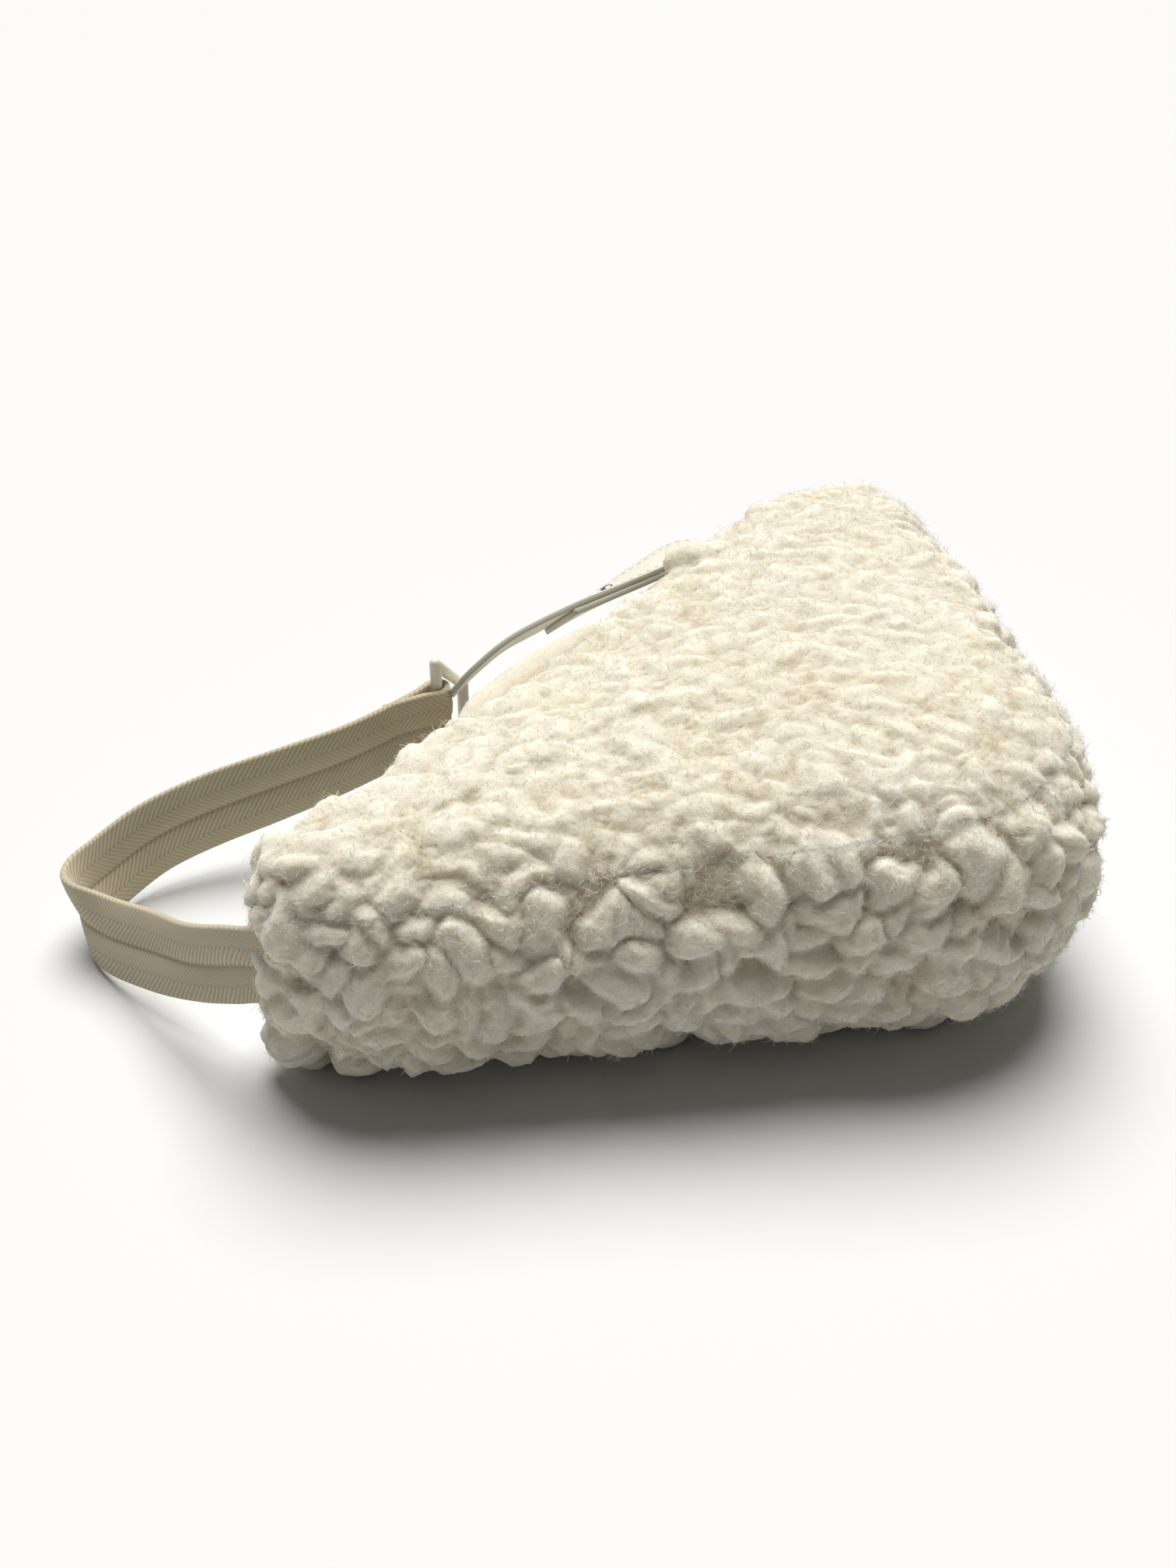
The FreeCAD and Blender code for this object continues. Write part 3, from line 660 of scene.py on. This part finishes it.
def grow_fibres(node, points, normals, seed):
    """Loose fibres that stand out of the pile: closed, tapered three-sided hairs."""
    chance = np.random.default_rng(300 + seed)
    count = min(12000, len(points) // (3))
    picks = chance.choice(len(points), count, replace=False)
    picks = picks[trench_mask(points[picks]) < 0.7]
    count = len(picks)
    root, n = points[picks], normals[picks]
    lean = np.cross(n, chance.normal(size=(count, 3)))
    lean /= np.linalg.norm(lean, axis=1)[:, None]
    side = np.cross(n, lean)
    length = (chance.uniform(1.2, 3.7, count) * (0.7 + 0.6 * hashed(picks[:, None].repeat(3, 1), 5)))
    if node == "back_lip":
        length *= 0.4
    length = length[:, None, None]
    s = np.array([0.0, 0.36, 0.7, 1.0])[None, :, None]
    hook = chance.normal(0, 0.45, (count, 1, 1))
    path = (root[:, None, :] - 0.3 * n[:, None, :] + n[:, None, :] * (0.75 * s - 0.3 * s * s) * length
            + lean[:, None, :] * 0.75 * s * length + side[:, None, :] * hook * s * s * length)
    path[:, :, 2] = np.maximum(path[:, :, 2], 0.2)
    turn = np.array([0.0, 2.1, 4.2])
    ring = (n[:, None, :] * np.cos(turn)[None, :, None] + side[:, None, :] * np.sin(turn)[None, :, None])
    girth = 0.085 * (1 - 0.6 * s[:, :3])
    body = path[:, :3, None, :] + ring[:, None, :, :] * girth[:, :, :, None]
    vertices = np.concatenate([body.reshape(count, 9, 3), path[:, 3:4]], axis=1).reshape(-1, 3)
    pattern = [(2, 1, 0, 0)]
    for level in (0, 3):
        for k in range(3):
            nxt = (k + 1) % 3
            pattern.append((level + k, level + nxt, level + 3 + nxt, level + 3 + k))
    pattern += [(6, 7, 9, 9), (7, 8, 9, 9), (8, 6, 9, 9)]
    starts = (np.arange(count) * 10)[:, None, None]
    faces = (starts + np.array(pattern)[None]).reshape(-1, 4)
    faces = [face[:3] if face[2] == face[3] else face for face in faces.tolist()]
    hairs = new_object("pile_fibres_" + node, vertices, faces)
    hairs.data.materials.append(fibre_material())
    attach(hairs, "pouch")


# ---- materials -----------------------------------------------------------------------------------
MATERIALS = {}


def material_nodes(name):
    material = bpy.data.materials.new(name)
    material.use_nodes = True
    tree = material.node_tree
    shader = tree.nodes["Principled BSDF"]
    MATERIALS[name] = material
    return material, tree, shader


def add(tree, kind, **values):
    node = tree.nodes.new(kind)
    for key, value in values.items():
        if key in node.inputs:
            node.inputs[key].default_value = value
        else:
            setattr(node, key, value)
    return node


def ramp(tree, source, stops):
    node = tree.nodes.new("ShaderNodeValToRGB")
    elements = node.color_ramp.elements
    while len(elements) < len(stops):
        elements.new(0.5)
    for element, (place, colour) in zip(elements, stops):
        element.position = place
        element.color = (*colour, 1.0)
    tree.links.new(source, node.inputs["Fac"])
    return node.outputs["Color"]


def mix(tree, factor, a, b, blend="MIX"):
    node = tree.nodes.new("ShaderNodeMix")
    node.data_type = "RGBA"
    node.blend_type = blend
    for socket, value in ((node.inputs[0], factor), (node.inputs[6], a), (node.inputs[7], b)):
        if isinstance(value, bpy.types.NodeSocket):
            tree.links.new(value, socket)
        elif isinstance(value, tuple):
            socket.default_value = (*value, 1.0)
        else:
            socket.default_value = value
    return node.outputs[2]


def bump(tree, height, strength, distance):
    node = tree.nodes.new("ShaderNodeBump")
    node.inputs["Strength"].default_value = strength
    node.inputs["Distance"].default_value = distance
    tree.links.new(height, node.inputs["Height"])
    return node


def object_noise(tree, scale, detail=3.0, roughness=0.6, stretch=(1, 1, 1)):
    coordinates = tree.nodes.new("ShaderNodeTexCoord")
    mapping = tree.nodes.new("ShaderNodeMapping")
    mapping.inputs["Scale"].default_value = stretch
    tree.links.new(coordinates.outputs["Object"], mapping.inputs["Vector"])
    noise = add(tree, "ShaderNodeTexNoise", Scale=scale, Detail=detail, Roughness=roughness)
    tree.links.new(mapping.outputs["Vector"], noise.inputs["Vector"])
    return noise.outputs["Fac"]


def fleece_material():
    if "fleece" in MATERIALS:
        return MATERIALS["fleece"]
    material, tree, shader = material_nodes("fleece")
    # Painted shade: the colour runs from dark brown in the creases, trench and lower walls to cream on the
    # lit crests and top.
    painted_pile_shade = add(tree, "ShaderNodeAttribute", attribute_name="painted_pile_shade")
    patches = object_noise(tree, 28.0, 3.0)
    fibres = object_noise(tree, 900.0, 4.0, 0.7)
    painted_shade_colour = ramp(tree, painted_pile_shade.outputs["Fac"], [
        (0.0, (0.23, 0.16, 0.085)),
        (0.25, (0.47, 0.38, 0.25)),
        (0.5, (0.68, 0.63, 0.51)),
        (1.0, (0.78, 0.755, 0.65)),
    ])
    warm = ramp(tree, patches, [(0.4, (1.0, 1.0, 1.0)), (0.8, (0.99, 0.965, 0.90))])
    colour = mix(tree, 1.0, painted_shade_colour, warm, "MULTIPLY")
    grain = ramp(tree, fibres, [(0.3, (0.9, 0.89, 0.87)), (0.7, (1.0, 1.0, 1.0))])
    colour = mix(tree, 1.0, colour, grain, "MULTIPLY")
    tree.links.new(colour, shader.inputs["Base Color"])
    shader.inputs["Roughness"].default_value = 0.95
    shader.inputs["Specular IOR Level"].default_value = 0.15
    shader.inputs["Sheen Weight"].default_value = 0.35
    shader.inputs["Sheen Roughness"].default_value = 0.5
    shader.inputs["Sheen Tint"].default_value = (1.0, 0.98, 0.92, 1.0)
    shader.inputs["Subsurface Weight"].default_value = 0.75
    shader.inputs["Subsurface Radius"].default_value = (1.0, 0.8, 0.55)
    shader.inputs["Subsurface Scale"].default_value = 0.005
    tangle = object_noise(tree, 320.0, 3.0, 0.65)
    relief = bump(tree, mix(tree, 0.4, tangle, fibres), 0.85, 0.0011)
    tree.links.new(relief.outputs["Normal"], shader.inputs["Normal"])
    return material


def fibre_material():
    if "fibre" in MATERIALS:
        return MATERIALS["fibre"]
    material, tree, shader = material_nodes("fibre")
    shade = ramp(tree, object_noise(tree, 120.0, 2.0), [
        (0.3, (0.80, 0.765, 0.66)),
        (0.7, (0.88, 0.86, 0.78)),
    ])
    tree.links.new(shade, shader.inputs["Base Color"])
    shader.inputs["Roughness"].default_value = 0.75
    shader.inputs["Specular IOR Level"].default_value = 0.2
    return material


def plain_fabric(name, colour, scale):
    if name in MATERIALS:
        return MATERIALS[name]
    material, tree, shader = material_nodes(name)
    weave = object_noise(tree, scale, 2.0)
    dark = tuple(c * 0.82 for c in colour)
    tree.links.new(ramp(tree, weave, [(0.35, dark), (0.65, colour)]), shader.inputs["Base Color"])
    shader.inputs["Roughness"].default_value = 0.9
    shader.inputs["Specular IOR Level"].default_value = 0.2
    relief = bump(tree, weave, 0.5, 0.0003)
    tree.links.new(relief.outputs["Normal"], shader.inputs["Normal"])
    return material


def metal(name, colour, roughness):
    if name in MATERIALS:
        return MATERIALS[name]
    material, tree, shader = material_nodes(name)
    wear = object_noise(tree, 700.0, 3.0)
    shader.inputs["Base Color"].default_value = (*colour, 1.0)
    shader.inputs["Metallic"].default_value = 1.0
    spread = add(tree, "ShaderNodeMapRange")
    spread.inputs["To Min"].default_value = roughness * 0.8
    spread.inputs["To Max"].default_value = roughness * 1.4
    tree.links.new(wear, spread.inputs["Value"])
    tree.links.new(spread.outputs["Result"], shader.inputs["Roughness"])
    return material


def webbing_material():
    if "webbing" in MATERIALS:
        return MATERIALS["webbing"]
    material, tree, shader = material_nodes("webbing")
    # The rib attribute holds the herringbone ribs and a painted shadow along the centre groove.
    rib = add(tree, "ShaderNodeAttribute", attribute_name="rib")
    shade = ramp(tree, rib.outputs["Fac"], [
        (0.0, (0.39, 0.335, 0.22)),
        (0.45, (0.55, 0.485, 0.345)),
        (1.0, (0.635, 0.58, 0.43)),
    ])
    patches = object_noise(tree, 60.0, 3.0)
    tone = ramp(tree, patches, [(0.3, (0.93, 0.93, 0.92)), (0.7, (1.0, 1.0, 1.0))])
    tree.links.new(mix(tree, 1.0, shade, tone, "MULTIPLY"), shader.inputs["Base Color"])
    shader.inputs["Roughness"].default_value = 0.85
    shader.inputs["Specular IOR Level"].default_value = 0.25
    shader.inputs["Sheen Weight"].default_value = 0.15
    yarn = object_noise(tree, 1800.0, 2.0)
    relief = bump(tree, yarn, 0.4, 0.00015)
    tree.links.new(relief.outputs["Normal"], shader.inputs["Normal"])
    return material


def leather_material(name="leather", colour=(0.68, 0.66, 0.555)):
    if name in MATERIALS:
        return MATERIALS[name]
    material, tree, shader = material_nodes(name)
    edge = add(tree, "ShaderNodeAttribute", attribute_name="edge")
    grain = object_noise(tree, 1500.0, 3.0)
    patches = object_noise(tree, 90.0, 3.0)
    face = ramp(tree, patches, [(0.3, tuple(c * 0.94 for c in colour)), (0.7, colour)])
    painted = mix(tree, edge.outputs["Fac"], face, (0.38, 0.37, 0.30))
    tree.links.new(painted, shader.inputs["Base Color"])
    shader.inputs["Roughness"].default_value = 0.5
    shader.inputs["Specular IOR Level"].default_value = 0.4
    relief = bump(tree, grain, 0.35, 0.00015)
    tree.links.new(relief.outputs["Normal"], shader.inputs["Normal"])
    return material


def enamel_material():
    if "enamel" in MATERIALS:
        return MATERIALS["enamel"]
    material, tree, shader = material_nodes("enamel")
    patches = object_noise(tree, 200.0, 3.0)
    tree.links.new(ramp(tree, patches, [(0.3, (0.74, 0.71, 0.60)), (0.7, (0.80, 0.77, 0.67))]),
                   shader.inputs["Base Color"])
    shader.inputs["Roughness"].default_value = 0.35
    shader.inputs["Coat Weight"].default_value = 0.3
    relief = bump(tree, object_noise(tree, 900.0, 2.0), 0.15, 0.0001)
    tree.links.new(relief.outputs["Normal"], shader.inputs["Normal"])
    return material


# ---- strap ---------------------------------------------------------------------------------------
WEB_WIDTH = 25.0
BILLET_WIDTH = 18.0
WEB_ROUTE = [
    ((12.0, -143.5, 41.0), (0.0, 0.0, 1.0)),
    ((-2.0, -145.0, 36.0), (0.0, 0.0, 1.0)),
    ((-11.0, -145.3, 31.5), (0.0, 0.02, 1.0)),
    ((-24.0, -145.0, 25.5), (0.0, 0.1, 1.0)),
    ((-42.0, -143.5, 19.0), (0.0, 0.28, 1.0)),
    ((-61.0, -143.0, 14.5), (-0.15, 0.26, 1.0)),
    ((-74.0, -141.0, 13.6), (-0.38, 0.05, 1.0)),
    ((-81.0, -134.0, 13.8), (-0.36, -0.08, 1.0)),
    ((-83.0, -122.0, 14.3), (-0.26, 0.0, 1.0)),
    ((-80.5, -106.0, 18.0), (-0.2, 0.0, 1.0)),
    ((-73.0, -89.0, 21.5), (-0.18, 0.04, 1.0)),
    ((-61.0, -70.0, 25.5), (-0.1, 0.06, 1.0)),
    ((-51.0, -49.0, 28.0), (0.0, 0.0, 1.0)),
    ((-45.0, -26.0, 29.5), (0.0, 0.0, 1.0)),
    ((-44.6, -17.5, 29.5), (0.0, 0.0, 1.0)),
    ((-43.2, -14.8, 29.5), (0.0, 0.0, 1.0)),
    ((-40.6, -14.4, 29.5), (0.0, 0.0, 1.0)),
    ((-38.6, -16.4, 29.5), (0.0, 0.0, 1.0)),
    ((-38.6, -19.4, 29.5), (0.0, 0.0, 1.0)),
    ((-41.4, -23.5, 29.5), (0.0, 0.0, 1.0)),
    ((-44.6, -29.5, 29.3), (0.0, 0.0, 1.0)),
    ((-47.4, -35.0, 28.9), (0.0, 0.0, 1.0)),
]
BILLET_ROUTE = [
    ((-38.0, -15.5, 39.5), (0.48, -0.62, 0.62)),
    ((-35.6, -6.7, 44.9), (0.49, -0.62, 0.61)),
    ((-33.3, 8.2, 48.7), (0.53, -0.55, 0.64)),
    ((-31.9, 32.5, 47.1), (0.66, -0.28, 0.70)),
    ((-29.9, 57.7, 45.5), (0.80, -0.16, 0.58)),
    ((-26.8, 80.4, 46.0), (0.91, -0.12, 0.39)),
    ((-24.1, 102.2, 45.7), (0.93, -0.10, 0.35)),
    ((-16.2, 117.0, 41.0), (0.85, -0.06, 0.50)),
    ((-6.0, 134.0, 39.0), (0.70, 0.0, 0.71)),
]


def smooth_route(route, step, widths):
    """Points, width directions, normals, run lengths and half widths along a Catmull-Rom route."""
    centres = np.array([p for p, _ in route], float)
    across = np.array([w for _, w in route], float)
    half = np.array(widths, float) / 2
    padded = lambda a: np.concatenate([[2 * a[0] - a[1]], a, [2 * a[-1] - a[-2]]])
    c, w, h = padded(centres), padded(across), padded(half)
    out_c, out_w, out_h = [], [], []
    for i in range(1, len(c) - 2):
        count = max(4, int(np.linalg.norm(c[i + 1] - c[i]) / step))
        for t in np.arange(count) / count:
            basis = np.array([
                -t + 2 * t * t - t ** 3,
                2 - 5 * t * t + 3 * t ** 3,
                t + 4 * t * t - 3 * t ** 3,
                -t * t + t ** 3,
            ]) / 2
            out_c.append(basis @ c[i - 1:i + 3])
            out_w.append(basis @ w[i - 1:i + 3])
            out_h.append(basis @ h[i - 1:i + 3])
    out_c.append(centres[-1])
    out_w.append(across[-1])
    out_h.append(half[-1])
    c, w, h = np.array(out_c), np.array(out_w), np.array(out_h)
    run = np.concatenate([[0], np.cumsum(np.linalg.norm(np.diff(c, axis=0), axis=1))])
    even = np.linspace(0, run[-1], int(run[-1] / step) + 1)
    c = np.stack([np.interp(even, run, c[:, k]) for k in range(3)], axis=1)
    w = np.stack([np.interp(even, run, w[:, k]) for k in range(3)], axis=1)
    h = np.interp(even, run, h)
    tangent = np.gradient(c, axis=0)
    tangent /= np.linalg.norm(tangent, axis=1)[:, None]
    w -= tangent * (w * tangent).sum(axis=1)[:, None]
    w /= np.linalg.norm(w, axis=1)[:, None]
    normal = np.cross(tangent, w)
    return c, w, normal, even, h


def tube_faces(rows, columns):
    r = np.arange(rows - 1)[:, None]
    k = np.arange(columns)[None, :]
    nxt = (k + 1) % columns
    quads = np.stack([r * columns + k, (r + 1) * columns + k, (r + 1) * columns + nxt, r * columns + nxt],
                     axis=-1).reshape(-1, 4).tolist()
    quads.append(list(range(columns)))
    quads.append(list(range((rows - 1) * columns, rows * columns))[::-1])
    return quads


def make_webbing():
    """Doubled herringbone webbing with a stitched centre line between two soft halves."""
    step = 0.5
    c, w, n, run, half = smooth_route(WEB_ROUTE, step, [WEB_WIDTH] * len(WEB_ROUTE))
    across_count = 56
    v = np.linspace(-1, 1, across_count)
    side = np.concatenate([v, v[::-1][1:-1]])
    face = np.concatenate([np.ones(across_count), -np.ones(across_count - 2)])
    edge = np.abs(side)
    puff = np.sqrt(np.clip(np.abs(np.sin(math.pi * side)), 0, 1))
    thick = 0.55 + 1.15 * puff * (1 - 0.25 * edge)
    thick *= np.where(edge > 0.985, 0.35, 1.0)
    band = np.floor((side + 1) * 2).clip(0, 3)
    slant = np.where(band % 2 == 0, 1.0, -1.0)
    pitch = 1.75
    phase = (run[:, None] + slant[None, :] * side[None, :] * WEB_WIDTH / 2 * 0.95) / pitch * 2 * math.pi
    rib = 0.5 + 0.5 * np.sin(phase)
    groove = np.exp(-(side / 0.06) ** 2)
    border = np.minimum(np.abs((side + 1) * 2 - np.round((side + 1) * 2)), 1.0)
    rib = rib * (0.55 + 0.45 * smooth_step(border, 0.0, 0.12))[None, :]
    offset = face[None, :] * (thick[None, :] + 0.15 * rib)
    points = (c[:, None, :] + w[:, None, :] * (side[None, :, None] * half[:, None, None])
              + n[:, None, :] * offset[:, :, None])
    rows, columns = len(c), len(side)
    flat = points.reshape(-1, 3)
    wobble = value_noise(flat, 18.0, 5) * 0.35
    flat = flat + np.repeat(n, columns, axis=0) * wobble[:, None]
    strip = new_object("webbing_strip", flat, tube_faces(rows, columns))
    # Painted shadow: the herringbone rib colour is darkened along the centre groove, the valley between the
    # two soft halves.
    shade = (rib * (1 - 0.55 * groove[None, :])).ravel()
    strip.data.attributes.new("rib", "FLOAT", "POINT").data.foreach_set("value", np.clip(shade, 0, 1))
    strip.data.materials.append(webbing_material())
    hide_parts("strap_webbing", "strap_root_near", "webbing_wrap")
    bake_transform(strip)


def leather_ribbon(name, route, widths, low, high):
    """Leather ply with rounded, painted edges."""
    c, w, n, run, half = smooth_route(route, 1.0, widths)
    profile = []
    for v in np.linspace(-1, 1, 15):
        profile.append((v, high, 0.0))
    profile[0] = (-0.97, high, 0.3)
    profile[-1] = (0.97, high, 0.3)
    profile.append((1.0, high - 0.35, 1.0))
    profile.append((1.0, low + 0.35, 1.0))
    bottom = [(0.97, low, 0.3)] + [(v, low, 0.0) for v in np.linspace(0.85, -0.85, 9)] + [(-0.97, low, 0.3)]
    profile += bottom
    profile.append((-1.0, low + 0.35, 1.0))
    profile.append((-1.0, high - 0.35, 1.0))
    profile = np.array(profile)
    side = profile[:, 0]
    points = (c[:, None, :] + w[:, None, :] * (side[None, :, None] * half[:, None, None])
              + n[:, None, :] * profile[None, :, 1][:, :, None])
    rows, columns = len(c), len(side)
    ply = new_object(name, points.reshape(-1, 3), tube_faces(rows, columns))
    ply.data.attributes.new("edge", "FLOAT", "POINT").data.foreach_set("value", np.tile(profile[:, 2], rows))
    ply.data.materials.append(leather_material())
    return ply


def make_billet():
    widths = [7.0, 12.0, 16.5] + [BILLET_WIDTH] * 6
    tail = [((4.0, 138.0, 38.0), (0.70, 0.0, 0.71)), ((17.0, 134.0, 37.0), (0.70, 0.0, 0.71))]
    outer = leather_ribbon("billet_top_ply", BILLET_ROUTE + tail, widths + [BILLET_WIDTH] * 2, 0.0, 1.9)
    under = leather_ribbon("billet_folded_ply", BILLET_ROUTE[3:] + tail, [BILLET_WIDTH] * 8, 2.0, 4.0)
    # The tail ends buried in the pouch, and the bend is outside the pile.
    for ply, nodes in ((outer, ("billet_outer", "strap_root_far")), (under, ("billet_under",))):
        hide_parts(*nodes)
        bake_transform(ply)
    stitch_billet(BILLET_ROUTE[3:] + tail)


def stitch_billet(route):
    """Saddle stitches along both edges and a domed stud at the fold."""
    c, w, n, run, half = smooth_route(route, 0.5, [BILLET_WIDTH] * len(route))
    points, faces = [], []
    ring = np.linspace(0, 2 * math.pi, 8, endpoint=False)
    for side in (-1, 1):
        for first in range(6, len(c) - 10, 8):
            span = np.arange(first, first + 6)
            for j, i in enumerate(span):
                t = j / (len(span) - 1)
                girth = 0.34 * math.sin(math.pi * (0.12 + 0.76 * t)) ** 0.5
                sink = 0.35 * (2 * t - 1) ** 4
                centre = c[i] + w[i] * side * (BILLET_WIDTH / 2 - 2.4) - n[i] * (0.12 - sink)
                for a in ring:
                    points.append(centre + w[i] * girth * math.cos(a) + n[i] * girth * math.sin(a))
            base = len(points) - len(span) * 8
            for j in range(len(span) - 1):
                for k in range(8):
                    a, b = base + j * 8 + k, base + j * 8 + (k + 1) % 8
                    faces.append((a, b, b + 8, a + 8))
            faces.append(tuple(base + k for k in reversed(range(8))))
            faces.append(tuple(base + (len(span) - 1) * 8 + k for k in range(8)))
    seam = new_object("billet_stitches", points, faces)
    seam.data.materials.append(plain_fabric("thread", (0.80, 0.77, 0.66), 2500.0))
    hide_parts("billet_stitching")
    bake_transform(seam)
    near = int(np.argmin(np.abs(c[:, 1] - 57.7)))
    points, faces = [], []
    around = np.linspace(0, 2 * math.pi, 28, endpoint=False)
    profile = [(2.6, 0.1), (2.65, -0.25), (2.35, -0.62), (1.6, -0.95), (0.7, -1.12), (0.15, -1.15)]
    for radius, rise in profile:
        for a in around:
            points.append(c[near] + w[near] * radius * math.cos(a)
                          + np.cross(w[near], n[near]) * radius * math.sin(a) + n[near] * rise)
    for r in range(len(profile) - 1):
        for k in range(28):
            a, b = r * 28 + k, r * 28 + (k + 1) % 28
            faces.append((a, b, b + 28, a + 28))
    faces.append(tuple(reversed(range(28))))
    faces.append(tuple(range((len(profile) - 1) * 28, len(profile) * 28)))
    stud = new_object("billet_stud", points, faces)
    stud.data.materials.append(metal("nickel", (0.78, 0.78, 0.76), 0.22))
    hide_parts("billet_rivet")
    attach(stud, "strap")


# ---- carried-over CAD nodes ----------------------------------------------------------------------
def finish_nodes():
    """Materials for the CAD pieces that are shown as they are."""
    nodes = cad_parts
    lining = plain_fabric("lining_cotton", (0.66, 0.60, 0.48), 1400.0)
    tape = plain_fabric("zip_tape", (0.70, 0.66, 0.54), 1600.0)
    silver = metal("nickel", (0.78, 0.78, 0.76), 0.22)
    table = {
        "zip_facings": lining,
        "zip_tape_front": tape, "zip_tape_back": tape, "zip_end_tabs": tape,
        "zip_teeth_front": silver, "zip_teeth_back": silver, "zip_end_stops": silver,
        "zip_slider": silver, "zip_pull": silver, "buckle_prong": silver,
        "buckle_frame": enamel_material(),
    }
    for name, material in table.items():
        mesh = nodes[name].data
        mesh.materials.clear()
        mesh.materials.append(material)


make_camera()
make_light()
make_floor()
make_fleece()
make_lining()
make_webbing()
make_billet()
finish_nodes()
